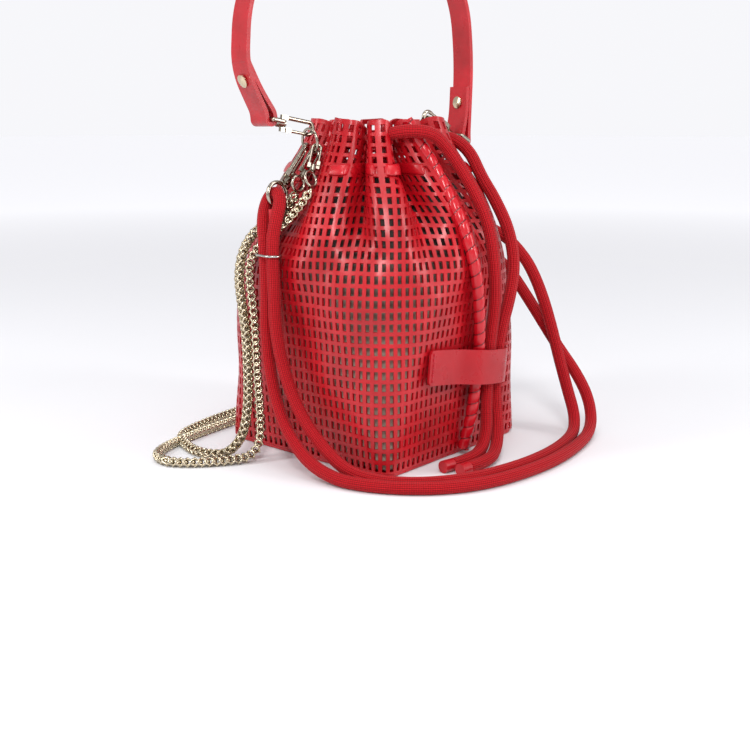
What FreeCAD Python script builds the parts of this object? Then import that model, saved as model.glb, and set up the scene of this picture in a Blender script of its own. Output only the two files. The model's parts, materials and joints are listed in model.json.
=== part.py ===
"""Small drawstring bucket bag of perforated leather: top handle, doubled shoulder cord and chain.

Millimetres, +Z up. The origin is the centre of the flat base, on the surface the bag stands on.
The laced front seam and its keeper label are on the -Y side, and the handle runs about along X.
"""
import FreeCAD
import Part
import math
import os
from FreeCAD import Vector

# ---- driving dimensions -------------------------------------------------------------------------
BASE_HALF = 79.0          # half of the square base
GIRTH_SHARE = 0.2146      # how much a side stands out per mm of corner radius, at constant girth
LEATHER = 2.0             # wall of the body
RIM_Z = 243.0             # top of the gathered neck
NECK_X, NECK_Y = 1.0, -1.0
NOTCHES_X = (-29.0, 32.5)  # dips of the rim that the drawstring comes out of
NOTCH_W, NOTCH_D = 14.0, 19.0
LINING_GAP = 4.0
LINING = 1.6
LINING_TOP = 212.0
CORD_D = 9.0              # shoulder cord and drawstring
CHAIN_D = 6.8
SEAM_CORE_D = 6.0
SEAM_LACE_D = 8.4
RING_R = 9.0              # to the middle of the wire
RING_WIRE = 2.0
TAB_W = 5.5
HANDLE_ANGLE = -10.0      # of the handle's line, from +X
RING_LEFT_U, RING_LEFT_Z = -61.0, 227.0
RING_RIGHT_U, RING_RIGHT_Z = 51.0, 236.0
HOOK_WIRE = 3.0
HOOK_HALF = 4.2           # half of the distance between a hook's two legs
STRAP_EYE_X = 38.0        # from the ring wire to the bar that the strap wraps
LEFT_HOOK_TILT, RIGHT_HOOK_TILT = 14.0, -33.0
CORD_HOOK_SCALE = 1.14
CLASP_SCALE = 0.74
EYE_R = 7.2               # round eye, to the middle of its wire
GATE_PIVOT_X = 17.6
STRAP_W = 19.0
STRAP_T = 3.0
CORD_EYE_LEFT = (-87, 16, 190)
CORD_EYE_RIGHT = (82, 16, 196)
CORD_BAR_RIGHT = (82.2, 16.2, 195.7)
GATHER_SPAN = ((-101.5, 5.8, 150), (-100, 15.3, 150))
GATHER_WIRE = 1.6
GATHER_GAP = 0.8
STRAND_HEADING = (-2, -3, -34)
TAB_TOP = (-93.5, 14.5, 181.3)
CLASP_EYE_FRONT = (-78, -8, 198)
CLASP_EYE_BACK = (-78, 5, 196)
RIVET_UP = 24.0           # along the strap, from the eye's bar
RETURN_LEG = 36.0
LACE_LEVELS = ((212.0, 56.2), (218.0, 52.1))   # level and the body's half width there
LABEL_H = 25.0
LABEL_T = 1.8
LABEL_Z = 69.5
LABEL_TILT = 6.3

# level and corner radius of the body's section; the half width follows from the constant girth
LOWER_LEVELS = ((3.2, 12.0), (30.0, 22.0), (83.0, 40.0), (112.0, 58.0))
# level, half width and corner radius where the neck gathers
UPPER_LEVELS = ((142.0, 96.0, 92.0), (165.0, 86.0, 84.0), (190.0, 72.0, 70.5), (208.0, 59.0, 57.5),
                (227.0, 46.0, 44.5), (RIM_Z, 40.0, 38.5))

# ---- routes, chosen by hand ---------------------------------------------------------------------
SEAM_ROUTE = ((1, -86.2, 5), (3, -90.2, 24), (5, -93, 50), (5, -96, 80), (-1, -99.5, 112),
              (-10, -102, 142), (-13, -93, 170), (-11, -76, 194), (-11, -63, 213), (-15, -53.5, 228),
              (-19, -46.5, 242))
SHOULDER_ROUTE = ((88, 13, 178), (92, 5, 170), (97, -12, 164), (98, -34, 160), (95, -55, 153),
                  (90, -70, 145), (91, -82, 132), (94, -92, 110), (97, -100, 84), (101, -106, 58),
                  (105, -112, 34), (104, -120, 15), (90, -128, 5.5), (62, -136, 4.6), (28, -141, 4.6),
                  (-8, -140, 4.6), (-42, -133, 4.6), (-66, -122, 4.6), (-85, -106, 4.6),
                  (-96, -87, 4.8), (-101, -65, 7), (-101, -44, 17), (-102, -25, 34), (-103, -12, 54),
                  (-104, -3, 78), (-104.5, 1.5, 102), (-103, 3.5, 124), (-101, 6.5, 158),
                  (-97, 7, 173), (-91, 8, 185), (-88, 12, 192), (-87, 20, 192), (-89.5, 24, 185),
                  (-96, 21, 173), (-99.5, 16, 158), (-101.5, 13, 124), (-104, 12, 102), (-105, 9, 76),
                  (-107, 1, 50), (-110, -14, 28), (-113, -36, 12), (-113, -62, 5), (-107, -86, 4.6),
                  (-94, -109, 4.6), (-75, -129, 4.6), (-49, -143, 4.6), (-16, -150, 4.6),
                  (22, -152, 4.6), (60, -147, 4.6), (92, -139, 5), (112, -131, 11), (119, -123, 27),
                  (116, -113, 46), (109, -98, 68), (103, -85, 90), (98, -74, 108), (98, -60, 124),
                  (100, -40, 138), (100, -16, 149), (96, 4, 157), (91, 18, 165), (87, 23, 178))
DRAW_FRONT_ROUTE = ((-22, -22, 226), (-28, -34, 231), (-30, -48, 234), (-23, -60, 235), (-11, -65, 232),
                    (-2, -69, 223), (4, -76, 210), (8, -87, 192), (9, -99, 170), (8, -105, 144),
                    (13, -103.5, 116), (14.5, -99, 88), (14.5, -97, 62), (14, -97, 38), (11, -100, 20),
                    (0, -104, 8), (-16, -105, 4.6), (-34, -102, 4.6))
DRAW_BACK_ROUTE = ((26, -24, 226), (33, -35, 231), (37, -48, 228), (39, -60, 219), (40, -69, 202),
                   (44, -79, 186), (46, -91, 164), (43, -99, 140), (34, -102, 118), (25.5, -100, 92),
                   (24.5, -97, 64), (24, -98, 40), (20, -104, 20), (6, -112, 7), (-12, -117, 4.6),
                   (-32, -115, 4.6))
DRAW_NECK_ROUTE = ((26, -24, 226), (33, 0, 226), (25, 23, 226), (0, 32, 226), (-25, 24, 226),
                   (-31, 0, 226), (-22, -22, 226))
CHAIN_ROUTE = ((-79, -8.5, 193), (-83, -4, 184), (-87.5, 4, 174), (-88.8, 17, 165), (-91.6, 27, 157.5),
               (-98, 32.5, 145), (-102, 30, 131), (-104, 24, 113), (-105, 21.5, 89), (-105, 21, 62),
               (-104, 20, 36), (-106, 18, 15), (-114, 19, 5), (-127, 25, 3.6), (-141, 35, 3.6),
               (-153, 46, 3.6), (-161, 60, 3.6), (-156, 77, 3.6), (-140, 88, 3.6), (-116, 94, 3.6),
               (-90, 99, 3.6), (-60, 103, 3.6), (-26, 106, 3.6), (8, 105, 3.6), (36, 108, 3.6),
               (48, 118, 3.6), (38, 128, 3.6), (10, 127, 3.6), (-26, 124, 3.6), (-60, 119, 3.6),
               (-90, 112, 3.6), (-113, 103, 3.6), (-124, 84, 3.6), (-131, 64, 3.6), (-129, 48, 3.6),
               (-122, 37, 4.5), (-113, 30, 16), (-108, 28.5, 38), (-107, 28.5, 64), (-107, 29, 92),
               (-107, 33, 115), (-104.5, 38.5, 133), (-99, 40, 150), (-92, 35, 164), (-87, 25, 170),
               (-84, 13, 176), (-79.5, 6, 189.5))
# (u, v) of the strap's inner face above the folded ends, from the middle between the rings
STRAP_ARCH = ((-107, 52), (-100, 96), (-72, 135), (-28, 160), (22, 160), (68, 136), (94, 92), (96, 48))
LABEL_LINE = ((-46, -89.5), (-14, -92), (-3, -103), (27, -104.5), (38, -92.5), (50, -89.5))


def unit(vector):
    result = Vector(vector)
    result.normalize()
    return result


HANDLE_LINE = Vector(math.cos(math.radians(HANDLE_ANGLE)), math.sin(math.radians(HANDLE_ANGLE)), 0)
RING_LEFT = Vector(NECK_X, NECK_Y, RING_LEFT_Z) + HANDLE_LINE * RING_LEFT_U
RING_RIGHT = Vector(NECK_X, NECK_Y, RING_RIGHT_Z) + HANDLE_LINE * RING_RIGHT_U
SWING_AXIS = unit(RING_RIGHT - RING_LEFT)
HANDLE_UP = unit(Vector(0, 0, 1) - SWING_AXIS * SWING_AXIS.z)
HANDLE_BACK = HANDLE_UP.cross(SWING_AXIS)


def placed(shape, origin, x_axis, y_axis):
    """Moves a shape from its own axes to origin, with its X and Y along x_axis and y_axis."""
    x = unit(x_axis)
    z = unit(x.cross(y_axis))
    y = z.cross(x)
    matrix = FreeCAD.Matrix(x.x, y.x, z.x, origin.x, x.y, y.y, z.y, origin.y,
                            x.z, y.z, z.z, origin.z, 0, 0, 0, 1)
    moved = shape.copy()
    moved.transformShape(matrix)
    return moved


def rod(start, end, diameter):
    return Part.makeCylinder(diameter / 2, (end - start).Length, start, end - start)


def fused(shapes):
    result = shapes[0]
    for shape in shapes[1:]:
        result = result.fuse(shape)
    return result.removeSplitter()


def export(name, shapes):
    """Writes one node; a list is a group of separate solids."""
    shape = shapes if hasattr(shapes, "Solids") else Part.makeCompound(shapes)
    if not shape.isValid():
        print("NOT VALID", name)
    shape.exportStep("parts/" + name + ".step")
    print(name, len(shape.Solids), "solids", round(shape.Volume))


# ---- routes of runs and tangent arcs ------------------------------------------------------------
def route_edges(points):
    """Straight runs joined by tangent arcs, each as large as its two runs allow."""
    edges = []
    start = points[0]
    tightest = 1e9
    for before, corner, after in zip(points, points[1:], points[2:]):
        back = unit(before - corner)
        ahead = unit(after - corner)
        cut = 0.45 * min((before - corner).Length, (after - corner).Length)
        turn = math.pi - back.getAngle(ahead)
        tightest = min(tightest, cut / math.tan(turn / 2))
        enter = corner + back * cut
        leave = corner + ahead * cut
        middle = unit(back + ahead)
        radius = cut / math.tan(turn / 2)
        centre = corner + middle * (radius / math.cos(turn / 2))
        edges.append(Part.LineSegment(start, enter).toShape())
        edges.append(Part.Arc(enter, centre - middle * radius, leave).toShape())
        start = leave
    edges.append(Part.LineSegment(start, points[-1]).toShape())
    return edges, tightest


def tube(name, route, diameter, bore=0.0):
    """A round tube along a route, checked against its section times its length."""
    points = [Vector(*point) for point in route]
    edges, tightest = route_edges(points)
    path = Part.Wire(edges)
    heading = points[1] - points[0]
    solids = []
    for size in (diameter, bore):
        if size:
            ring = Part.Wire([Part.Circle(points[0], heading, size / 2).toShape()])
            shell = Part.BRepOffsetAPI.MakePipeShell(path)
            shell.add(ring)
            shell.build()
            shell.makeSolid()
            solids.append(shell.shape())
    solid = solids[0].cut(solids[1]) if bore else solids[0]
    expected = math.pi / 4 * (diameter ** 2 - bore ** 2) * path.Length
    print(name, "length", round(path.Length), "tightest radius", round(tightest, 1),
          "volume over section times length", round(solid.Volume / expected, 3))
    return solid


# ---- body ---------------------------------------------------------------------------------------
def rounded_square(level, half, radius, x=0.0, y=0.0):
    """A closed outline of four sides and four arcs."""
    flat = half - radius
    slant = radius * math.sqrt(0.5)
    edges = []
    for quarter in range(4):
        turn = FreeCAD.Rotation(Vector(0, 0, 1), 90 * quarter)
        corners = ((half, -flat, 0), (half, flat, 0), (flat + slant, flat + slant, 0), (flat, half, 0))
        here = [turn.multVec(Vector(*p)) + Vector(x, y, level) for p in corners]
        edges.append(Part.LineSegment(here[0], here[1]).toShape())
        edges.append(Part.Arc(here[1], here[2], here[3]).toShape())
    return Part.Wire(edges)


def sections(inset, lowest, highest):
    """The body's outlines, moved inwards by inset."""
    rows = [(z, BASE_HALF + GIRTH_SHARE * radius, radius, 0.0) for z, radius in LOWER_LEVELS]
    bend_from = LOWER_LEVELS[-1][0]
    rows += [(z, half, radius, min(1.0, (z - bend_from) / 70)) for z, half, radius in UPPER_LEVELS]
    rows = [row for row in rows if lowest <= row[0] <= highest]
    return [rounded_square(z, half - inset, radius - inset, NECK_X * share, NECK_Y * share)
            for z, half, radius, share in rows]


def body_shell():
    outer = Part.makeLoft(sections(0.0, 0, RIM_Z), True, True)
    inner = Part.makeLoft(sections(LEATHER, 0, RIM_Z), True, True)
    wall = outer.cut(inner)
    for x in NOTCHES_X:
        wall = wall.cut(Part.makeBox(NOTCH_W, 30, 30, Vector(x - NOTCH_W / 2, -55, RIM_Z - NOTCH_D)))
    return wall


def inner_pouch():
    top_half, top_radius = 50.0, 48.5
    gap = LEATHER + LINING_GAP
    outer = sections(gap, 20, 208)
    inner = sections(gap + LINING, 20, 208)
    outer.append(rounded_square(LINING_TOP, top_half, top_radius, NECK_X, NECK_Y))
    inner.append(rounded_square(LINING_TOP, top_half - LINING, top_radius - LINING, NECK_X, NECK_Y))
    floor = rounded_square(6.0, BASE_HALF - 6, 10)
    outer.insert(0, floor)
    inner.insert(0, rounded_square(6.0 + LINING, BASE_HALF - 6 - LINING, 9))
    return Part.makeLoft(outer, True, True).cut(Part.makeLoft(inner, True, True))


def base_parts():
    panel = Part.Face(rounded_square(0, BASE_HALF - 1, 12)).extrude(Vector(0, 0, 1.6))
    board = Part.Face(rounded_square(3.4, BASE_HALF - 4, 9)).extrude(Vector(0, 0, 1.8))
    ring = rounded_square(1.7, BASE_HALF + 0.6, 13)
    start = ring.Edges[0].Vertexes[0].Point
    shell = Part.BRepOffsetAPI.MakePipeShell(ring)
    shell.add(Part.Wire([Part.Circle(start, Vector(0, 1, 0), 1.5).toShape()]))
    shell.build()
    shell.makeSolid()
    return panel, board, shell.shape()


def band(line, thickness, height):
    """A strip of even thickness that stands on a plan line, which it follows in straight runs."""
    points = [Vector(x, y, 0) for x, y in line]
    sides = ([], [])
    for i, point in enumerate(points):
        before = unit(point - points[i - 1]) if i else unit(points[1] - point)
        after = unit(points[i + 1] - point) if i + 1 < len(points) else before
        normal = unit(Vector(-(before.y + after.y), before.x + after.x, 0))
        reach = thickness / 2 / math.cos(before.getAngle(after) / 2)
        sides[0].append(point + normal * reach)
        sides[1].append(point - normal * reach)
    outline = sides[0] + sides[1][::-1]
    return Part.Face(Part.makePolygon(outline + outline[:1])).extrude(Vector(0, 0, height))


def label():
    """The keeper: its ends are sewn to the body, and its middle bridges the seam and both cords."""
    strip = band(LABEL_LINE, LABEL_T, LABEL_H)
    strip.translate(Vector(0, 0, LABEL_Z - LABEL_H / 2))
    strip.rotate(Vector(0, 0, LABEL_Z), Vector(0, 1, 0), LABEL_TILT)
    return strip


def label_stitches():
    """Two rows of short stitches that lie on the label's ends."""
    stitches = []
    for x, y in ((-43, -91.15), (47, -91.6)):
        for row in range(6):
            low = Vector(x, y, LABEL_Z - LABEL_H / 2 + 2.4 + row * 3.6)
            stitches.append(rod(low, low + Vector(0, 0, 2.4), 0.8))
    group = Part.makeCompound(stitches)
    group.rotate(Vector(0, 0, LABEL_Z), Vector(0, 1, 0), LABEL_TILT)
    return group


def neck_lace():
    """The flat lace that runs round the neck, inside the wall here."""
    rows = [(z, half - LEATHER - 0.6) for z, half in LACE_LEVELS]
    lofts = []
    for inset in (0.0, 1.2):
        outlines = [rounded_square(z, half - inset, half - inset - 1.5, NECK_X, NECK_Y) for z, half in rows]
        lofts.append(Part.makeLoft(outlines, True, True))
    return lofts[0].cut(lofts[1])


# ---- rings and tabs -----------------------------------------------------------------------------
def wire_ring(centre, axis, radius, wire):
    return Part.makeTorus(radius, wire / 2, centre, axis)


def ring_tab(centre, side):
    """A leather loop round the ring's lowest point, sewn down the outside of the neck."""
    wrap_inner = RING_WIRE / 2 + 0.6
    wrap_outer = wrap_inner + 1.4
    width = TAB_W
    loop = Part.makeCylinder(wrap_outer, width, Vector(0, 0, -width / 2), Vector(0, 0, 1))
    loop = loop.cut(Part.makeCylinder(wrap_inner, width + 2, Vector(0, 0, -width / 2 - 1), Vector(0, 0, 1)))
    leg = Part.makeBox(20, 2.8, width, Vector(1.6, wrap_outer - 2.8, -width / 2))
    tab = loop.fuse(leg).removeSplitter()
    bottom = centre - HANDLE_UP * RING_R
    outward = SWING_AXIS * side
    down = unit(outward * 0.52 - HANDLE_UP * 0.85)
    return placed(tab, bottom, down, outward + HANDLE_UP * 0.6)


# ---- hooks --------------------------------------------------------------------------------------
def snap_hook_body(scale):
    """Nose, long leg, yoke and swivel barrel of a snap hook whose ring wire is at the origin."""
    wire = HOOK_WIRE
    nose = Vector(0.8, 0, 0)
    arc = Part.makeTorus(HOOK_HALF, wire / 2, nose, Vector(0, 0, 1))
    arc = arc.common(Part.makeBox(12, 24, 12, Vector(0.8 - 12, -12, -6)))
    leg = rod(Vector(0.8, HOOK_HALF, 0), Vector(20, HOOK_HALF, 0), wire)
    tip = rod(Vector(0.8, -HOOK_HALF, 0), Vector(2.6, -HOOK_HALF, 0), wire)
    yoke = Part.makeBox(5.0, 2 * HOOK_HALF + 3, wire, Vector(19.2, -HOOK_HALF - 1.5, -wire / 2))
    window = Part.makeBox(3.4, 5.4, wire + 2, Vector(19.0, -2.7, -wire / 2 - 1))
    barrel = rod(Vector(23.0, 0, 0), Vector(27.4, 0, 0), 6.4)
    bore = rod(Vector(22, 0, 0), Vector(28, 0, 0), 3.5)
    lugs = [Part.makeBox(3.6, 3.0, 0.9, Vector(16.2, -HOOK_HALF - 1.5, low)) for low in (1.45, -2.35)]
    bridge = Part.makeBox(1.6, 3.0, 4.7, Vector(19.0, -HOOK_HALF - 1.5, -2.35))
    body = fused([arc, leg, tip, yoke.cut(window), barrel, bridge] + lugs).cut(bore)
    pin_hole = rod(Vector(GATE_PIVOT_X, -HOOK_HALF, -4), Vector(GATE_PIVOT_X, -HOOK_HALF, 4), 1.4)
    body = body.cut(pin_hole)
    body.scale(scale)
    return body


def snap_hook_gate(scale):
    """The sprung gate bar with its knuckle."""
    bar = rod(Vector(3.0, -HOOK_HALF, 0), Vector(16.6, -HOOK_HALF, 0), 2.2)
    knuckle = rod(Vector(GATE_PIVOT_X, -HOOK_HALF, -1.2), Vector(GATE_PIVOT_X, -HOOK_HALF, 1.2), 2.8)
    gate = bar.fuse(knuckle).removeSplitter()
    gate = gate.cut(rod(Vector(GATE_PIVOT_X, -HOOK_HALF, -4), Vector(GATE_PIVOT_X, -HOOK_HALF, 4), 1.46))
    gate.scale(scale)
    return gate


def snap_hook_pin(scale):
    pin = rod(Vector(GATE_PIVOT_X, -HOOK_HALF, -2.35), Vector(GATE_PIVOT_X, -HOOK_HALF, 2.35), 1.4)
    pin.scale(scale)
    return pin


def swivel_post():
    head = rod(Vector(20.8, 0, 0), Vector(22.4, 0, 0), 4.8)
    post = rod(Vector(21, 0, 0), Vector(29.2, 0, 0), 3.4)
    return head.fuse(post)


def strap_eye():
    """Swivel post and flat rectangular eye; the strap wraps its far bar."""
    half = STRAP_W / 2 + 2.4
    wire = HOOK_WIRE
    near, far = 29.8, STRAP_EYE_X
    bars = [rod(Vector(x, 0, -half), Vector(x, 0, half), wire) for x in (near, far)]
    sides = [rod(Vector(near, 0, z), Vector(far, 0, z), wire) for z in (-half, half)]
    corners = [Part.makeSphere(wire / 2, Vector(x, 0, z)) for x in (near, far) for z in (-half, half)]
    return fused([swivel_post()] + bars + sides + corners)


def round_eye(scale):
    """Swivel post and round eye, in the hook's own plane."""
    centre = Vector(29.0 + EYE_R, 0, 0)
    eye = fused([swivel_post(), Part.makeTorus(EYE_R, 1.3, centre, Vector(0, 0, 1))])
    eye.scale(scale)
    return eye


def hook_set(name, at, along, body_normal, eye_normal, eye, scale=1.0):
    """Exports one hook as body, gate, pin and eye, and prints its gate and swivel axes."""
    x = unit(along)
    for piece, shape, normal in (("body", snap_hook_body(scale), body_normal),
                                 ("gate", snap_hook_gate(scale), body_normal),
                                 ("pin", snap_hook_pin(scale), body_normal), ("eye", eye, eye_normal)):
        export(name + "_" + piece, placed(shape, at, x, normal.cross(x)))
    y = unit(body_normal.cross(x))
    z = x.cross(y)
    pivot = at + x * (GATE_PIVOT_X * scale) - y * (HOOK_HALF * scale)
    print("AXES", name, "gate", list(pivot), list(z), "swivel", list(at + x * (25 * scale)), list(x))


def ring_point(ring, degrees):
    """A point of a ring's wire and its tangent there; 0 is the top and +90 the back."""
    angle = math.radians(degrees)
    radial = HANDLE_UP * math.cos(angle) + HANDLE_BACK * math.sin(angle)
    return ring + radial * RING_R, SWING_AXIS.cross(radial)


def hanging_hooks():
    """The two cord hooks and the two chain clasps, each hung on its ring towards its own eye."""
    for name, ring, degrees, target, eye_normal, scale in (
            ("cord_hook_left", RING_LEFT, 130, CORD_EYE_LEFT, HANDLE_BACK, CORD_HOOK_SCALE),
            ("cord_hook_right", RING_RIGHT, 130, CORD_EYE_RIGHT, HANDLE_BACK, CORD_HOOK_SCALE),
            ("chain_clasp_front", RING_LEFT, -118, CLASP_EYE_FRONT, HANDLE_BACK, CLASP_SCALE),
            ("chain_clasp_back", RING_LEFT, -148, CLASP_EYE_BACK, HANDLE_BACK, CLASP_SCALE)):
        at, tangent = ring_point(ring, degrees)
        along = unit(Vector(*target) - at)
        print(name, "eye centre", at + along * ((29.0 + EYE_R) * scale))
        hook_set(name, at, along, tangent, eye_normal, round_eye(scale), scale)


# ---- handle -------------------------------------------------------------------------------------
def hook_directions():
    """Where each handle hook holds its ring, and which way it points."""
    result = []
    for ring, side, tilt in ((RING_LEFT, -1, LEFT_HOOK_TILT), (RING_RIGHT, 1, RIGHT_HOOK_TILT)):
        angle = math.radians(tilt)
        along = SWING_AXIS * (side * math.cos(angle)) + HANDLE_UP * math.sin(angle)
        result.append((ring + HANDLE_UP * RING_R, along))
    return result


def to_plane(point):
    """A point of the handle's plane as (u, v, 0), measured from the middle between the rings."""
    from_middle = point - (RING_LEFT + RING_RIGHT) * 0.5
    return Vector(from_middle.dot(SWING_AXIS), from_middle.dot(HANDLE_UP), 0)


def from_plane(shape):
    return placed(shape, (RING_LEFT + RING_RIGHT) * 0.5, SWING_AXIS, HANDLE_UP)


def ribbon(points, thickness, width):
    """A strap along a route in the handle's plane; its thickness stands to the left of the route."""
    edges, tightest = route_edges(points)
    print("strap length", round(Part.Wire(edges).Length), "tightest radius", round(tightest, 1))
    pieces = []
    for edge in edges:
        first, last = edge.FirstParameter, edge.LastParameter
        along = [edge.valueAt(t) for t in (first, (first + last) / 2, last)]
        ahead = [edge.tangentAt(t) for t in (first, (first + last) / 2, last)]
        beside = [p + Vector(-t.y, t.x, 0) * thickness for p, t in zip(along, ahead)]
        if isinstance(edge.Curve, Part.Circle):
            sides = [Part.Arc(*row).toShape() for row in (along, beside)]
        else:
            sides = [Part.LineSegment(row[0], row[2]).toShape() for row in (along, beside)]
        caps = [Part.LineSegment(along[i], beside[i]).toShape() for i in (0, 2)]
        outline = Part.Wire(Part.__sortEdges__(sides + caps))
        pieces.append(Part.Face(outline).extrude(Vector(0, 0, width)))
    strip = fused(pieces)
    strip.translate(Vector(0, 0, -width / 2))
    return strip


def strap_lines():
    """For each end, the eye's bar and the line that both legs follow above it."""
    arch = [Vector(u, v, 0) for u, v in STRAP_ARCH]
    near = HOOK_WIRE / 2 + 0.3
    lines = []
    for (at, along), first, side in zip(hook_directions(), (arch[0], arch[-1]), (-1, 1)):
        bar = to_plane(at + along * STRAP_EYE_X)
        foot = bar + Vector(side * near, 5, 0)
        lines.append((bar, foot, unit(first - foot), side))
    return lines


def strap_end(bar, foot, up, side):
    """The route of one folded end: down the return leg, round the eye's bar and up the outer leg."""
    near = HOOK_WIRE / 2 + 0.3
    inward = Vector(-side * up.y, side * up.x, 0)
    return [foot + up * RETURN_LEG + inward * 0.3, foot + up * 15 + inward * 0.4,
            bar + Vector(-side * near, 4, 0), bar + Vector(-side * near, -near, 0),
            bar + Vector(side * near, -near, 0), foot]


def strap():
    """The strap's inner face follows this route, and its thickness stands outside it."""
    left, right = [strap_end(*line) for line in strap_lines()]
    arch = [Vector(u, v, 0) for u, v in STRAP_ARCH]
    shape = from_plane(ribbon(left + arch + right[::-1], STRAP_T, STRAP_W))
    for post in rivet_posts():
        shape = shape.cut(post)
    return shape


def rivet_axes():
    """The middle of each rivet, between the two legs, and the way out through the outer leg."""
    axes = []
    for bar, foot, up, side in strap_lines():
        outward = Vector(side * up.y, -side * up.x, 0)
        axes.append((foot + up * RIVET_UP, outward))
    return axes


def rivet_posts():
    reach = STRAP_T + 0.6
    return [from_plane(rod(p - out * reach, p + out * reach, 4.0)) for p, out in rivet_axes()]


def rivet_caps(inside):
    """Domed caps, 9 mm across: the outer row or the inner row."""
    caps = []
    for point, out in rivet_axes():
        way = out * (-1 if inside else 1)
        seat = point + way * (STRAP_T + (0.5 if inside else 0.02))
        disc = rod(seat, seat + way * 0.7, 9.0)
        ball = Part.makeSphere(10.5, seat + way * (1.9 - 10.5))
        dome = ball.common(rod(seat + way * 0.7, seat + way * 3, 9.0))
        hole = rod(point, point + way * (STRAP_T + 0.6), 4.0)
        caps.append(from_plane(disc.fuse(dome).removeSplitter().cut(hole)))
    return caps


def cord_end():
    """The leather sleeve that both ends of the shoulder cord go into, and its loop through the eye."""
    first, last = Vector(*SHOULDER_ROUTE[0]), Vector(*SHOULDER_ROUTE[-1])
    middle = (first + last) * 0.5
    across = unit(last - first)
    heading = unit(Vector(*CORD_BAR_RIGHT) - middle)
    heading = unit(heading - across * heading.dot(across))
    half = (last - first).Length / 2
    wide = CORD_D + 2.4
    ends = [rod(middle + across * s, middle + across * s + heading * 9, wide) for s in (-half, half)]
    block = Part.makeBox(9, 2 * half, wide, Vector(0, -half, -wide / 2))
    sleeve = fused(ends + [placed(block, middle, heading, across)])
    return sleeve


def gather_ring():
    """The oval wire ring round both strands of the shoulder cord."""
    low, high = [Vector(*p) for p in GATHER_SPAN]
    centre = (low + high) * 0.5
    across = unit(Vector(high.x - low.x, high.y - low.y, 0))
    half = (high - low).Length / 2
    bend = CORD_D / 2 + GATHER_GAP + GATHER_WIRE / 2
    wire = GATHER_WIRE
    pieces = [rod(Vector(-half, y, 0), Vector(half, y, 0), wire) for y in (-bend, bend)]
    for side in (-1, 1):
        half_ring = Part.makeTorus(bend, wire / 2, Vector(side * half, 0, 0), Vector(0, 0, 1))
        pieces.append(half_ring.common(Part.makeBox(20, 40, 8, Vector(side * (half + 10) - 10, -20, -4))))
    down = unit(Vector(*STRAND_HEADING))
    return placed(fused(pieces), centre, across, across.cross(down) * -1)


def cord_tab():
    """The small leather loop that hangs on the left eye between the two strands."""
    strip = Part.makeBox(2.4, 3, 10, Vector(-1.2, -1.5, -10))
    strip.translate(Vector(*TAB_TOP))
    return strip


def strand_tips():
    """The wrapped tips of the drawstring's two ends, on the floor."""
    tips = []
    for route in (DRAW_FRONT_ROUTE, DRAW_BACK_ROUTE):
        end, before = Vector(*route[-1]), Vector(*route[-2])
        tips.append(rod(end, end + unit(end - before) * 9, CORD_D))
    return tips


def build():
    os.makedirs("parts", exist_ok=True)
    panel, board, welt = base_parts()
    export("body_shell", body_shell())
    export("inner_pouch", inner_pouch())
    export("base_panel", panel)
    export("base_board", board)
    export("base_welt", welt)
    export("seam_core", tube("seam_core", SEAM_ROUTE, SEAM_CORE_D))
    export("seam_lace", tube("seam_lace", SEAM_ROUTE, SEAM_LACE_D, SEAM_CORE_D + 0.04))
    export("keeper_label", label())
    export("label_stitches", label_stitches())
    export("neck_lace", neck_lace())
    export("ring_left", wire_ring(RING_LEFT, SWING_AXIS, RING_R, RING_WIRE))
    export("ring_right", wire_ring(RING_RIGHT, SWING_AXIS, RING_R, RING_WIRE))
    export("ring_tab_left", ring_tab(RING_LEFT, -1))
    export("ring_tab_right", ring_tab(RING_RIGHT, 1))
    for name, (at, along) in zip(("handle_hook_left", "handle_hook_right"), hook_directions()):
        hook_set(name, at, along, HANDLE_BACK, HANDLE_BACK, strap_eye())
    export("handle_strap", strap())
    export("rivet_posts", rivet_posts())
    export("rivet_caps_outer", rivet_caps(False))
    export("rivet_caps_inner", rivet_caps(True))
    hanging_hooks()
    export("shoulder_cord", tube("shoulder_cord", SHOULDER_ROUTE, CORD_D))
    export("cord_end_sleeve", cord_end())
    export("gather_ring", gather_ring())
    export("cord_tab", cord_tab())
    export("drawstring_neck", tube("drawstring_neck", DRAW_NECK_ROUTE, CORD_D))
    export("drawstring_front", tube("drawstring_front", DRAW_FRONT_ROUTE, CORD_D))
    export("drawstring_back", tube("drawstring_back", DRAW_BACK_ROUTE, CORD_D))
    tips = strand_tips()
    export("drawstring_tip_front", tips[0])
    export("drawstring_tip_back", tips[1])
    export("chain", tube("chain", CHAIN_ROUTE, CHAIN_D))


if __name__ == "__main__":
    build()
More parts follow.
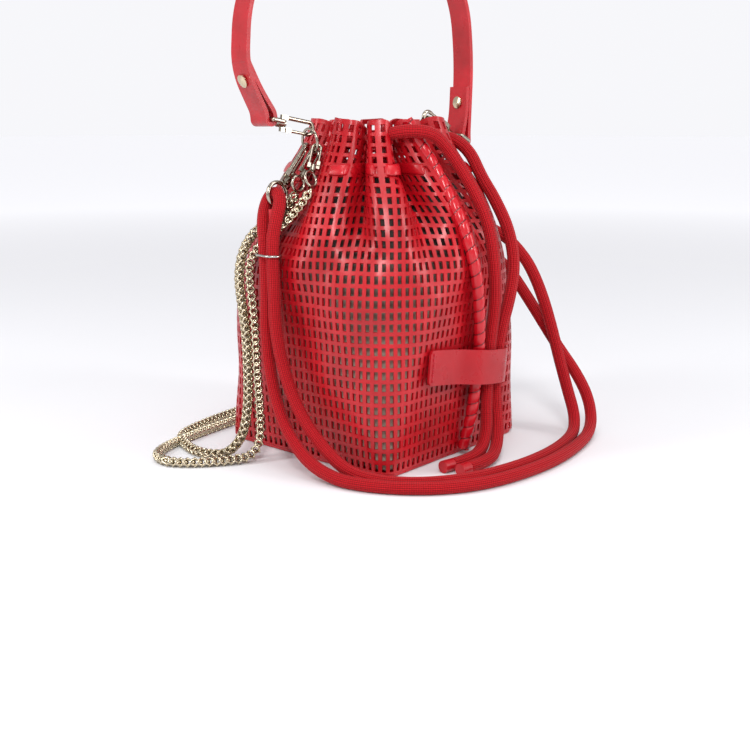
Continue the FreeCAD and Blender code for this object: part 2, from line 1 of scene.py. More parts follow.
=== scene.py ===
"""Perforated leather bucket bag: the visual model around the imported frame. Metres, +Z up."""
import bpy
import json
import math
import numpy as np
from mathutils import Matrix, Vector

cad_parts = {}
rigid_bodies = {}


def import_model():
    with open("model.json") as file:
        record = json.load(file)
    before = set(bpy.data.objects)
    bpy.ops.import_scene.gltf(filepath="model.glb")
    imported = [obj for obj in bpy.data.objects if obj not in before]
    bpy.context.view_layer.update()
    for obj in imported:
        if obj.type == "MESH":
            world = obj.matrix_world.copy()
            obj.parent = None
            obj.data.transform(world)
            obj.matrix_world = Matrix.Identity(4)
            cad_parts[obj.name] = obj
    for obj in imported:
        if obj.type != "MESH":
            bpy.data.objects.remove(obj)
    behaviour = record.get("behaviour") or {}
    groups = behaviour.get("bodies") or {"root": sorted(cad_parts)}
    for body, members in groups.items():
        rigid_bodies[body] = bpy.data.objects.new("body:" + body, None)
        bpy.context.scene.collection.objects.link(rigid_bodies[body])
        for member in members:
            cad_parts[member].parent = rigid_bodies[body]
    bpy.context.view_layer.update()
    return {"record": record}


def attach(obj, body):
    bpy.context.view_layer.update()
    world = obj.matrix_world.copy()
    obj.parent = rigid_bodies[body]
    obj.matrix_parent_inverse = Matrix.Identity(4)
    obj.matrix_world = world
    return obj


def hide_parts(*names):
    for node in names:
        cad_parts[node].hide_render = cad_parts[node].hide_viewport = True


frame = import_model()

MM = 0.001
BAG = "bag"
UV_NAME = "along"

# ---- camera -------------------------------------------------------------------------------------
camera_data = bpy.data.cameras.new("camera")
camera_data.lens = 49.25
camera_data.sensor_width = 36
camera = bpy.data.objects.new("camera", camera_data)
camera.location = (-0.593, -0.514, 0.236)
camera.rotation_euler = (math.radians(76.5), 0, math.radians(-49.1))
bpy.context.collection.objects.link(camera)
bpy.context.scene.camera = camera

# ---- routes, in millimetres: the same points as the frame's ---------------------------------------
SEAM_ROUTE = ((1, -86.2, 5), (3, -90.2, 24), (5, -93, 50), (5, -96, 80), (-1, -99.5, 112),
              (-10, -102, 142), (-13, -93, 170), (-11, -76, 194), (-11, -63, 213), (-15, -53.5, 228),
              (-19, -46.5, 242))
SHOULDER_ROUTE = ((88, 13, 178), (92, 5, 170), (97, -12, 164), (98, -34, 160), (95, -55, 153),
                  (90, -70, 145), (91, -82, 132), (94, -92, 110), (97, -100, 84), (101, -106, 58),
                  (105, -112, 34), (104, -120, 15), (90, -128, 5.5), (62, -136, 4.6), (28, -141, 4.6),
                  (-8, -140, 4.6), (-42, -133, 4.6), (-66, -122, 4.6), (-85, -106, 4.6),
                  (-96, -87, 4.8), (-101, -65, 7), (-101, -44, 17), (-102, -25, 34), (-103, -12, 54),
                  (-104, -3, 78), (-104.5, 1.5, 102), (-103, 3.5, 124), (-101, 6.5, 158),
                  (-97, 7, 173), (-91, 8, 185), (-88, 12, 192), (-87, 20, 192), (-89.5, 24, 185),
                  (-96, 21, 173), (-99.5, 16, 158), (-101.5, 13, 124), (-104, 12, 102), (-105, 9, 76),
                  (-107, 1, 50), (-110, -14, 28), (-113, -36, 12), (-113, -62, 5), (-107, -86, 4.6),
                  (-94, -109, 4.6), (-75, -129, 4.6), (-49, -143, 4.6), (-16, -150, 4.6),
                  (22, -152, 4.6), (60, -147, 4.6), (92, -139, 5), (112, -131, 11), (119, -123, 27),
                  (116, -113, 46), (109, -98, 68), (103, -85, 90), (98, -74, 108), (98, -60, 124),
                  (100, -40, 138), (100, -16, 149), (96, 4, 157), (91, 18, 165), (87, 23, 178))
DRAW_FRONT_ROUTE = ((0, 32, 226), (-25, 24, 226), (-31, 0, 226),
                    (-22, -22, 226), (-28, -34, 231), (-30, -48, 234), (-23, -60, 235), (-11, -65, 232),
                    (-2, -69, 223), (4, -76, 210), (8, -87, 192), (9, -99, 170), (8, -105, 144),
                    (13, -103.5, 116), (14.5, -99, 88), (14.5, -97, 62), (14, -97, 38), (11, -100, 20),
                    (0, -104, 8), (-16, -105, 4.6), (-34, -102, 4.6))
DRAW_BACK_ROUTE = ((0, 32, 226), (25, 23, 226), (33, 0, 226),
                   (26, -24, 226), (33, -35, 231), (37, -48, 228), (39, -60, 219), (40, -69, 202),
                   (44, -79, 186), (46, -91, 164), (43, -99, 140), (34, -102, 118), (25.5, -100, 92),
                   (24.5, -97, 64), (24, -98, 40), (20, -104, 20), (6, -112, 7), (-12, -117, 4.6),
                   (-32, -115, 4.6))
CHAIN_ROUTE = ((-79, -8.5, 193), (-83, -4, 184), (-87.5, 4, 174), (-88.8, 17, 165), (-91.6, 27, 157.5),
               (-98, 32.5, 145), (-102, 30, 131), (-104, 24, 113), (-105, 21.5, 89), (-105, 21, 62),
               (-104, 20, 36), (-106, 18, 15), (-114, 19, 5), (-127, 25, 3.6), (-141, 35, 3.6),
               (-153, 46, 3.6), (-161, 60, 3.6), (-156, 77, 3.6), (-140, 88, 3.6), (-116, 94, 3.6),
               (-90, 99, 3.6), (-60, 103, 3.6), (-26, 106, 3.6), (8, 105, 3.6), (36, 108, 3.6),
               (48, 118, 3.6), (38, 128, 3.6), (10, 127, 3.6), (-26, 124, 3.6), (-60, 119, 3.6),
               (-90, 112, 3.6), (-113, 103, 3.6), (-124, 84, 3.6), (-131, 64, 3.6), (-129, 48, 3.6),
               (-122, 37, 4.5), (-113, 30, 16), (-108, 28.5, 38), (-107, 28.5, 64), (-107, 29, 92),
               (-107, 33, 115), (-104.5, 38.5, 133), (-99, 40, 150), (-92, 35, 164), (-87, 25, 170),
               (-84, 13, 176), (-79.5, 6, 189.5))


# ---- materials ------------------------------------------------------------------------------------
class Nodes:
    """A material's node tree, with short calls for the nodes used here."""

    def __init__(self, name, color, roughness, **sockets):
        self.material = bpy.data.materials.new(name)
        self.material.use_nodes = True
        self.tree = self.material.node_tree
        self.shader = next(n for n in self.tree.nodes if n.type == "BSDF_PRINCIPLED")
        self.shader.inputs["Base Color"].default_value = (*color, 1)
        self.shader.inputs["Roughness"].default_value = roughness
        for socket, value in sockets.items():
            self.shader.inputs[socket.replace("_", " ")].default_value = value
        self.material.diffuse_color = (*color, 1)

    def link(self, output, target):
        self.tree.links.new(output, target)

    def coords(self):
        return self.tree.nodes.new("ShaderNodeTexCoord").outputs["Object"]

    def along(self):
        """Metres along a tube in X and the share of a turn round it in Y."""
        node = self.tree.nodes.new("ShaderNodeUVMap")
        node.uv_map = UV_NAME
        return node.outputs[0]

    def axis(self, vector, index):
        node = self.tree.nodes.new("ShaderNodeSeparateXYZ")
        self.link(vector, node.inputs[0])
        return node.outputs[index]

    def scaled(self, vector, scale):
        node = self.tree.nodes.new("ShaderNodeMapping")
        node.inputs["Scale"].default_value = scale
        self.link(vector, node.inputs["Vector"])
        return node.outputs[0]

    def noise(self, vector, scale, detail=3.0):
        node = self.tree.nodes.new("ShaderNodeTexNoise")
        node.inputs["Scale"].default_value = scale
        node.inputs["Detail"].default_value = detail
        node.inputs["Roughness"].default_value = 0.55
        self.link(vector, node.inputs["Vector"])
        return node.outputs["Fac"]

    def cells(self, vector, scale):
        node = self.tree.nodes.new("ShaderNodeTexVoronoi")
        node.feature = "DISTANCE_TO_EDGE"
        node.inputs["Scale"].default_value = scale
        self.link(vector, node.inputs["Vector"])
        return node.outputs["Distance"]

    def wave(self, vector, scale, direction, distortion=0.0):
        node = self.tree.nodes.new("ShaderNodeTexWave")
        node.bands_direction = direction
        node.inputs["Scale"].default_value = scale
        node.inputs["Distortion"].default_value = distortion
        self.link(vector, node.inputs["Vector"])
        return node.outputs["Fac"]

    def math(self, operation, a, b):
        node = self.tree.nodes.new("ShaderNodeMath")
        node.operation = operation
        for value, socket in zip((a, b), node.inputs):
            if isinstance(value, (int, float)):
                socket.default_value = value
            else:
                self.link(value, socket)
        return node.outputs[0]

    def ramp(self, value, low, high, start=0.0, end=1.0):
        node = self.tree.nodes.new("ShaderNodeMapRange")
        numbers = {"From Min": start, "From Max": end, "To Min": low, "To Max": high}
        for socket, number in numbers.items():
            node.inputs[socket].default_value = number
        self.link(value, node.inputs["Value"])
        return node.outputs[0]

    def tint(self, factor, first, second):
        node = self.tree.nodes.new("ShaderNodeMix")
        node.data_type = "RGBA"
        node.inputs[6].default_value = (*first, 1)
        node.inputs[7].default_value = (*second, 1)
        self.link(factor, node.inputs[0])
        self.link(node.outputs[2], self.shader.inputs["Base Color"])

    def rough(self, value):
        self.link(value, self.shader.inputs["Roughness"])

    def bump(self, height, strength, distance):
        node = self.tree.nodes.new("ShaderNodeBump")
        node.inputs["Strength"].default_value = strength
        node.inputs["Distance"].default_value = distance
        self.link(height, node.inputs["Height"])
        previous = self.shader.inputs["Normal"].links
        if previous:
            self.link(previous[0].from_socket, node.inputs["Normal"])
        self.link(node.outputs[0], self.shader.inputs["Normal"])


def leather(name, deep, bright, roughness, grain=1100.0, coat=0.2, strength=0.35):
    m = Nodes(name, bright, roughness, Coat_Weight=coat, Coat_Roughness=0.22, Specular_IOR_Level=0.35)
    at = m.coords()
    m.tint(m.ramp(m.noise(at, 38, 4), 0, 1, 0.3, 0.7), deep, bright)
    m.rough(m.ramp(m.noise(at, 90, 3), roughness - 0.07, roughness + 0.1, 0.3, 0.7))
    m.bump(m.ramp(m.cells(at, grain), 0, 1, 0, 0.25), strength, 0.00012)
    m.bump(m.noise(at, 70, 2), 0.25, 0.0012)
    return m.material


def knit(name, deep, bright, wales, courses):
    """Knitted cord, with so many wales round it and courses to the metre."""
    m = Nodes(name, bright, 0.72, Sheen_Weight=0.06, Sheen_Roughness=0.4, Specular_IOR_Level=0.2)
    at = m.along()
    wale = m.wave(m.scaled(at, (0, wales, 0)), 0.5, "Y")
    course = m.wave(m.scaled(at, (courses, wales * 0.5, 0)), 0.5, "X", 0.6)
    height = m.math("ADD", m.math("MULTIPLY", wale, 0.65), m.math("MULTIPLY", course, 0.35))
    # painted shade: the tint darkens the grooves between the knit's wales and courses, following the
    # bump's height
    m.tint(m.ramp(height, 0, 1, 0.15, 0.9), deep, bright)
    m.bump(height, 0.8, 0.0006)
    m.bump(m.noise(m.coords(), 1500, 2), 0.3, 0.0002)
    return m.material


def metal(name, color, roughness):
    m = Nodes(name, color, roughness, Metallic=1.0)
    at = m.coords()
    m.rough(m.ramp(m.noise(at, 160, 4), roughness - 0.05, roughness + 0.09, 0.3, 0.7))
    m.tint(m.ramp(m.noise(at, 45, 3), 0, 1, 0.35, 0.65), tuple(c * 0.93 for c in color), color)
    m.bump(m.noise(m.scaled(at, (1, 1, 6)), 700, 3), 0.05, 0.0001)
    return m.material


RED_DEEP, RED = (0.33, 0.0015, 0.005), (0.50, 0.003, 0.010)
# the cord's darker red is painted shade for the grooves of its knit
CORD_GROOVE_SHADE, CORD = (0.20, 0.001, 0.003), (0.52, 0.003, 0.010)
BODY_LEATHER = leather("body_leather", RED_DEEP, RED, 0.36, coat=0.3)
TRIM_LEATHER = leather("trim_leather", RED_DEEP, (0.52, 0.004, 0.013), 0.32, grain=1400, coat=0.2)
LACE_LEATHER = leather("lace_leather", RED_DEEP, (0.58, 0.005, 0.015), 0.28,
                       grain=1800, coat=0.3, strength=0.2)
LABEL_LEATHER = leather("label_leather", (0.34, 0.003, 0.008), (0.42, 0.004, 0.011), 0.30,
                        grain=2200, coat=0.1, strength=0.2)
CORD_KNIT = knit("cord_knit", CORD_GROOVE_SHADE, CORD, 13, 420)
HOOK_METAL = metal("hook_metal", (0.42, 0.37, 0.30), 0.14)
RIVET_METAL = metal("rivet_metal", (0.66, 0.55, 0.38), 0.20)
SILVER = metal("silver", (0.50, 0.48, 0.45), 0.14)
CHAIN_METAL = metal("chain_metal", (0.60, 0.52, 0.38), 0.16)


def wrap_leather(pitch):
    """The lace wound round the seam, with painted shade where one turn goes under the next."""
    m = Nodes("wrap_leather", RED, 0.26, Coat_Weight=0.3, Coat_Roughness=0.15, Specular_IOR_Level=0.4)
    at = m.along()
    turn = m.math("SUBTRACT", m.math("MULTIPLY", m.axis(at, 0), 1 / pitch), m.axis(at, 1))
    near = m.math("ABSOLUTE", m.math("SUBTRACT", m.math("FRACT", turn, 0), 0.5), 0)
    # painted shade: the colour turns near black along the line where one turn slips under the next
    m.tint(m.ramp(near, 0, 1, 0.42, 0.49), (0.50, 0.004, 0.012), (0.09, 0.001, 0.003))
    m.bump(m.noise(m.coords(), 900, 3), 0.15, 0.0002)
    return m.material


def lining_cloth():
    """Woven beige cloth, with painted shade towards the neck, where little light gets in."""
    m = Nodes("lining_cloth", (0.36, 0.28, 0.22), 0.85, Sheen_Weight=0.1)
    at = m.coords()
    # painted shade: the beige cloth turns near black from 0.095 m up to 0.16 m towards the neck; the
    # noise patches are random tone
    shade = m.ramp(m.axis(at, 2), 0, 0.9, 0.095, 0.16)
    patches = m.math("MULTIPLY", m.noise(at, 60, 4), 0.12)
    m.tint(m.math("ADD", shade, patches), (0.42, 0.33, 0.26), (0.03, 0.022, 0.018))
    weave = m.math("ADD", m.wave(at, 330, "DIAGONAL"), m.wave(m.scaled(at, (-1, 1, 1)), 330, "DIAGONAL"))
    m.bump(weave, 0.4, 0.0002)
    return m.material


def thread():
    m = Nodes("stitch_thread", (0.55, 0.01, 0.03), 0.55)
    at = m.coords()
    m.tint(m.noise(at, 900, 2), (0.35, 0.005, 0.015), (0.62, 0.02, 0.04))
    m.bump(m.wave(at, 900, "DIAGONAL"), 0.5, 0.0001)
    return m.material


def board_stock():
    m = Nodes("board_stock", (0.30, 0.21, 0.16), 0.85)
    at = m.coords()
    m.tint(m.noise(at, 300, 5), (0.22, 0.15, 0.11), (0.36, 0.26, 0.2))
    m.bump(m.noise(at, 900, 3), 0.4, 0.0002)
    return m.material


LINING, THREAD, BOARD = lining_cloth(), thread(), board_stock()
WRAP_PITCH = 9.0 * MM
WRAP = wrap_leather(WRAP_PITCH)


# ---- mesh helpers ---------------------------------------------------------------------------------
def piece(name, vertices, faces, material, slot, replaced, uvs=None, sharp=None):
    """A named mesh that rides on the bag in place of frame pieces; sharp is an angle in degrees."""
    mesh = bpy.data.meshes.new(name)
    mesh.from_pydata([tuple(v) for v in vertices], [], faces)
    if uvs is not None:
        layer = mesh.uv_layers.new(name=UV_NAME)
        flat = [c for face in uvs for pair in face for c in pair]
        layer.data.foreach_set("uv", flat)
    mesh.validate()
    mesh.polygons.foreach_set("use_smooth", [True] * len(mesh.polygons))
    if sharp:
        mesh.set_sharp_from_angle(angle=math.radians(sharp))
    mesh.materials.append(material)
    mesh.update()
    obj = bpy.data.objects.new(name, mesh)
    bpy.context.collection.objects.link(obj)
    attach(obj, BAG)
    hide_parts(*replaced)
    return obj


def nurbs_line(route):
    """The smooth line of a route, as evenly sampled points."""
    data = bpy.data.curves.new("line", "CURVE")
    data.dimensions = "3D"
    spline = data.splines.new("NURBS")
    spline.points.add(len(route) - 1)
    for point, at in zip(spline.points, route):
        point.co = (at[0] * MM, at[1] * MM, at[2] * MM, 1)
    spline.order_u = 3
    spline.use_endpoint_u = True
    spline.resolution_u = 16
    holder = bpy.data.objects.new("line", data)
    bpy.context.collection.objects.link(holder)
    mesh = bpy.data.meshes.new_from_object(holder)
    line = np.array([tuple(v.co) for v in mesh.vertices])
    bpy.data.objects.remove(holder)
    bpy.data.curves.remove(data)
    bpy.data.meshes.remove(mesh)
    return line


def resampled(line, step):
    """Evenly spaced points on a line, and how far along it each one is."""
    gaps = np.linalg.norm(np.diff(line, axis=0), axis=1)
    run = np.concatenate(([0], np.cumsum(gaps)))
    count = max(8, int(round(run[-1] / step)))
    marks = np.linspace(0, run[-1], count + 1)
    points = np.stack([np.interp(marks, run, line[:, k]) for k in range(3)], axis=1)
    return points, marks


def frames(points):
    """Tangents and two cross axes carried along without twist."""
    tangents = np.gradient(points, axis=0)
    tangents /= np.linalg.norm(tangents, axis=1)[:, None]
    side = np.cross(tangents[0], (0.0, 0.0, 1.0))
    if np.linalg.norm(side) < 0.2:
        side = np.cross(tangents[0], (0.0, 1.0, 0.0))
    sides = []
    for tangent in tangents:
        side = side - tangent * np.dot(side, tangent)
        side = side / np.linalg.norm(side)
        sides.append(side)
    sides = np.array(sides)
    return tangents, sides, np.cross(tangents, sides)


def swept(points, marks, around, radius_at):
    """A closed tube; radius_at(mark, angles) gives its radius."""
    tangents, side, up = frames(points)
    angles = np.arange(around) * math.tau / around
    vertices = []
    for i, at in enumerate(points):
        radius = radius_at(marks[i], angles)[:, None]
        out = side[i] * np.cos(angles)[:, None] + up[i] * np.sin(angles)[:, None]
        vertices.extend(at + out * radius)
    faces, uvs = [], []
    for i in range(len(points) - 1):
        for j in range(around):
            k = (j + 1) % around
            faces.append((i * around + j, i * around + k, (i + 1) * around + k, (i + 1) * around + j))
            u0, u1, v0, v1 = marks[i], marks[i + 1], j / around, (j + 1) / around
            uvs.append(((u0, v0), (u0, v1), (u1, v1), (u1, v0)))
    faces.append(tuple(range(around))[::-1])
    uvs.append(tuple((0.0, j / around) for j in range(around)))
    last = (len(points) - 1) * around
    faces.append(tuple(last + j for j in range(around)))
    uvs.append(tuple((marks[-1], j / around) for j in range(around)))
    return vertices, faces, uvs


# ---- the body's surface ---------------------------------------------------------------------------
BASE_HALF, GIRTH_SHARE, RIM = 79.0, 0.2146, 243.0
# level and corner radius where the girth stays that of the square base
LOW_LEVELS = ((3.2, 12.0), (30.0, 22.0), (83.0, 40.0), (112.0, 58.0))
# level, half width and corner radius
LEVELS = [(z, BASE_HALF + GIRTH_SHARE * r, r) for z, r in LOW_LEVELS]
LEVELS += [(142.0, 96.0, 92.0), (165.0, 86.0, 84.0), (190.0, 72.0, 70.5), (208.0, 59.0, 57.5),
           (227.0, 46.0, 44.5), (243.0, 40.0, 38.5), (262.0, 38.0, 36.5)]
GRID_Z = np.arange(-20.0, 270.0, 1.0)


def smoothed(values):
    """Values blurred along the grid, with both ends carried on straight."""
    blur = 6
    kernel = np.exp(-0.5 * (np.arange(-3 * blur, 3 * blur + 1) / blur) ** 2)
    padded = np.concatenate((2 * values[0] - values[3 * blur:0:-1], values,
                             2 * values[-1] - values[-2:-3 * blur - 2:-1]))
    return np.convolve(padded, kernel / kernel.sum(), "valid")


def table(column):
    """One column of the levels over the whole grid."""
    zs = [row[0] for row in LEVELS]
    vals = [row[column] for row in LEVELS]
    slope = (vals[1] - vals[0]) / (zs[1] - zs[0])
    raw = np.where(GRID_Z < zs[0], vals[0] + slope * (GRID_Z - zs[0]), np.interp(GRID_Z, zs, vals))
    return smoothed(raw)


HALF_TABLE, RADIUS_TABLE = table(1), table(2)
SHARE_TABLE = smoothed(np.clip((GRID_Z - 112) / 70, 0, 1))

CREST_LOW, CREST_FADE = 190, 88
# share of the girth at the rim and at the low level, height of the crest, and where it starts to fade
CRESTS = ((0.072, 0.078, 1.0, 118), (0.160, 0.165, 0.8, 130), (0.285, 0.285, 0.8, 125),
          (0.375, 0.375, 0.9, 120), (0.475, 0.47, 1.0, 118), (0.565, 0.56, 0.9, 124),
          (0.655, 0.655, 0.8, 128), (0.790, 0.795, 0.95, 122), (0.872, 0.878, 1.05, 112),
          (0.938, 0.974, 1.0, 120))
# middle share and width of the flat places under the two rings' tabs
FLAT_SPOTS = ((0.722, 0.018), (0.222, 0.018))
# middle share, width and depth of the dips in the rim where the cord's tails leave
RIM_DIPS = ((0.903, 0.017, 15.0), (0.117, 0.020, 15.0))
GATHER_FROM, GATHER_TO = 150, 212
FOLD_HEIGHT, FOLD_LEAN = 9.5, 3.4
# middle share, level, width in share, height, depth in mm, lean in share per mm
DENTS = ((0.872, 152.0, 0.020, 30.0, -5.5, -0.0019), (0.897, 140.0, 0.018, 28.0, 3.6, -0.0019),
         (0.86, 92.0, 0.035, 26.0, -3.2, 0.0011), (0.80, 66.0, 0.03, 20.0, 2.2, 0.0006),
         (0.93, 60.0, 0.04, 30.0, -1.6, 0.0), (0.07, 118.0, 0.04, 24.0, -2.4, -0.0008),
         (0.16, 50.0, 0.05, 26.0, -2.2, 0.0004), (0.80, 140.0, 0.02, 30.0, -3.0, 0.0009),
         (0.45, 80.0, 0.05, 34.0, -3.0, 0.0007),
         (0.62, 60.0, 0.04, 30.0, -2.5, -0.0006), (0.30, 70.0, 0.04, 30.0, -2.5, 0.0005))


def wrapped(distance):
    """A distance in shares of the girth, the short way round."""
    return (distance + 0.5) % 1.0 - 0.5


def smooth_step(value, low, high):
    """0 below the low value, 1 above the high one, and a soft rise between them."""
    x = np.clip((value - low) / (high - low), 0, 1)
    return x * x * (3 - 2 * x)


def crests_at(z):
    """Places, sizes and reaches of the crests at level z, closed round the girth."""
    mix = min(max((RIM - z) / (RIM - CREST_LOW), 0), 1.3)
    rows = sorted((top + (low - top) * mix, size, float(smooth_step(z, fade, fade + CREST_FADE)))
                  for top, low, size, fade in CRESTS)
    rows = [(rows[-1][0] - 1,) + rows[-1][1:]] + rows + [(rows[0][0] + 1,) + rows[0][1:]]
    return np.array(rows).T


def folds(t, z):
    """How far the leather stands out of its mean surface and along it at share t and level z, in mm."""
    places, size, reach = crests_at(z)
    t = np.mod(t, 1.0)
    turn = np.interp(t, places, np.arange(len(places)))
    amount = np.interp(t, places, size * reach)
    gathered = float(smooth_step(z, GATHER_FROM, GATHER_TO))
    bell = 1 - (2.0 + 1.3 * gathered) * np.sin(np.mod(turn, 1.0) * math.pi) ** 4
    height = FOLD_HEIGHT * amount * bell
    along = FOLD_LEAN * amount * gathered * np.sin(np.mod(turn, 1.0) * math.tau)
    for spot, width in FLAT_SPOTS:
        keep = 1 - np.exp(-(wrapped(t - spot) / width) ** 2) * smooth_step(z, 180, 205)
        height, along = height * keep, along * keep
    for at, level, width, tall, depth, lean in DENTS:
        off = wrapped(t - at - lean * (z - level))
        height = height + depth * np.exp(-(off / width) ** 2 - ((z - level) / tall) ** 2)
    return height, along


def outline(t, z, offset=0.0, inside=False):
    """Points of the body at shares t of the girth, from the middle of the -Y side towards +X, in mm."""
    half = np.interp(z, GRID_Z, HALF_TABLE)
    radius = np.interp(z, GRID_Z, RADIUS_TABLE)
    share = np.interp(z, GRID_Z, SHARE_TABLE)
    quarter = np.floor(t * 4 + 0.5)
    flat = half - radius
    length = 2 * flat + math.pi / 2 * radius
    s = (t * 4 - quarter) * length
    bend = np.clip((np.abs(s) - flat) / radius, 0, None)
    sign = np.sign(s)
    x = np.where(bend > 0, sign * (flat + radius * np.sin(bend)), s)
    y = -(flat + radius * np.cos(bend))
    nx, ny = sign * np.sin(bend), -np.cos(bend)
    out, along = folds(t, z)
    out = (np.minimum(out, 0.5) if inside else out) + offset
    x, y = x + nx * out - ny * along, y + ny * out + nx * along
    angle = quarter * math.pi / 2
    cosine, sine = np.cos(angle), np.sin(angle)
    return np.stack((x * cosine - y * sine + share, x * sine + y * cosine - share), axis=1)


def rim_level(t):
    """Height of the rim's edge, which waves, dips and sinks between the crests."""
    level = RIM + 1.2 * np.sin(t * math.tau * 3 + 1.0) + 0.8 * np.sin(t * math.tau * 7)
    for at, width, depth in RIM_DIPS:
        level = level - depth * np.exp(-(wrapped(t - at) / width) ** 4)
    return level - 7 * smooth_step(-folds(t, RIM)[0], -7, 14)


DENSE = np.linspace(0, 1, 1441)


def even_shares(z, marks, offset=0.0, inside=False):
    """Shares of the girth for even marks: between two crests, equal lengths of the folded outline."""
    line = outline(DENSE, z, offset, inside)
    run = np.concatenate(([0], np.cumsum(np.linalg.norm(np.diff(line, axis=0), axis=1))))
    total = run[-1]
    here, sheet = crests_at(z)[0], crests_at(0)[0]
    lengths = np.interp(np.mod(here, 1.0), DENSE, run) + np.floor(here) * total
    return np.mod(np.interp(np.interp(marks, sheet, lengths),
                            np.concatenate((run - total, run[1:], run[1:] + total)),
                            np.concatenate((DENSE - 1, DENSE[1:], DENSE[1:] + 1))), 1.0)


def shell_grid(levels, marks):
    """Rows of points; the rows bend down into the rim's dips near the top."""
    rows = []
    for z in levels:
        shares = even_shares(z, marks)
        drop = (rim_level(shares) - RIM) * smooth_step(z, 190, RIM)
        rows.append(np.column_stack((outline(shares, z), z + drop)) * MM)
    return rows


HOLE_COLUMNS, HOLE_ROWS = 114, 31
RIM_BAND, BODY_THICKNESS = 2.2, 1.7
# a hole's width and height as parts of the spacing
HOLE_W, HOLE_H = 2.8 / 5.6, 5.35 / 8.0


def solid_skin(name, rows, holes, thickness, material, **options):
    """Joins a grid of points into faces, leaves the holes out, and gives it a thickness inwards."""
    around = len(rows[0])
    vertices = np.concatenate(rows)
    faces = []
    for i in range(len(rows) - 1):
        for j in range(around):
            if holes(i, j):
                continue
            k = (j + 1) % around
            faces.append((i * around + j, i * around + k, (i + 1) * around + k, (i + 1) * around + j))
    mesh = bpy.data.meshes.new(name + "_flat")
    mesh.from_pydata([tuple(v) for v in vertices], [], faces)
    holder = bpy.data.objects.new(name + "_flat", mesh)
    bpy.context.collection.objects.link(holder)
    thick = holder.modifiers.new("thick", "SOLIDIFY")
    thick.thickness = thickness
    thick.offset = -1
    thick.thickness_clamp = 1.2
    evaluated = holder.evaluated_get(bpy.context.evaluated_depsgraph_get())
    result = bpy.data.meshes.new_from_object(evaluated)
    vertices = [v.co.copy() for v in result.vertices]
    faces = [tuple(p.vertices) for p in result.polygons]
    bpy.data.objects.remove(holder)
    bpy.data.meshes.remove(mesh)
    bpy.data.meshes.remove(result)
    return piece(name, vertices, faces, material, **options)


def body_levels():
    """Levels of the hole rows' edges, evenly spaced along the side of the bag."""
    z = np.linspace(3.0, RIM, 500)
    half = np.interp(z, GRID_Z, HALF_TABLE)
    run = np.concatenate(([0], np.cumsum(np.hypot(np.diff(z), np.diff(half)))))
    pitch = (run[-1] - RIM_BAND) / HOLE_ROWS
    edges = [0.0]
    for row in range(HOLE_ROWS):
        low = pitch * (row + 0.5 - HOLE_H / 2)
        edges += [low, low + HOLE_H * pitch]
    edges.append(run[-1])
    return np.interp(edges, run, z)


def body():
    """The perforated leather: every second cell in both directions is a hole."""
    marks = []
    for column in range(HOLE_COLUMNS):
        marks += [column + 0.5 - HOLE_W / 2, column + 0.5 + HOLE_W / 2]
    marks = np.array(marks) / HOLE_COLUMNS
    rows = shell_grid(body_levels(), marks)
    return solid_skin("perforated_body", rows, lambda i, j: i % 2 == 1 and j % 2 == 0,
                      BODY_THICKNESS * MM, BODY_LEATHER,
                      slot="body_leather", replaced=["body_shell"], sharp=50)


def lining():
    """The pouch: it follows the body's mean surface and hangs further in towards the neck."""
    around, low, high = 240, 5.0, 208
    marks = np.arange(around) / around
    rows = []
    for z in np.linspace(low, high, 64):
        offset = -4.5 - 6.0 * float(smooth_step(z, 85, 140))
        shares = even_shares(z, marks, offset, True)
        rows.append(np.column_stack((outline(shares, z, offset, True), np.full(around, z))) * MM)
    return solid_skin("lining_pouch", rows, lambda i, j: False, 0.8 * MM, LINING,
                      slot="lining_fabric", replaced=["inner_pouch"])


# middle share and half width of the stretches where the lace lies outside
LACE_SHOWS = ((0.797, 0.010), (0.855, 0.009), (0.888, 0.010), (0.940, 0.009), (0.010, 0.010),
              (0.070, 0.014), (0.160, 0.014), (0.285, 0.014), (0.375, 0.014), (0.475, 0.014),
              (0.565, 0.014), (0.655, 0.014))
LACE_INSIDE, LACE_RISE = -2.8, 3.6


def neck_lace():
    """A flat lace that goes in and out through the perforations of the neck."""
    count, low, high = 1200, 205.0, 212.5
    shares = np.arange(count) / count
    out = np.full(count, LACE_INSIDE)
    for at, width in LACE_SHOWS:
        shown = smooth_step(-np.abs(wrapped(shares - at)), -width - 0.004, -width + 0.002)
        out = np.maximum(out, LACE_INSIDE + LACE_RISE * shown)
    rows, middle = [], (low + high) / 2
    for z, lift in ((low, 0.2), (low + 1.2, 0.9), (middle, 1.1), (high - 1.2, 0.9), (high, 0.2)):
        rows.append(np.column_stack((outline(shares, z, out + lift), np.full(count, z))) * MM)
    return solid_skin("neck_lace_strip", rows, lambda i, j: False, 1.1 * MM, LACE_LEATHER,
                      slot="body_leather", replaced=["neck_lace"])


LABEL_LINE = ((-46, -89.6, 0), (-30, -91, 0), (-17, -93, 0), (-8, -99, 0), (0, -103.6, 0),
              (14, -104.6, 0), (28, -103.6, 0), (37, -96.5, 0), (44, -91, 0), (50, -89.6, 0))
LABEL_Z, LABEL_H, LABEL_T, LABEL_TILT = 69.5, 25.0, 1.8, 6.3


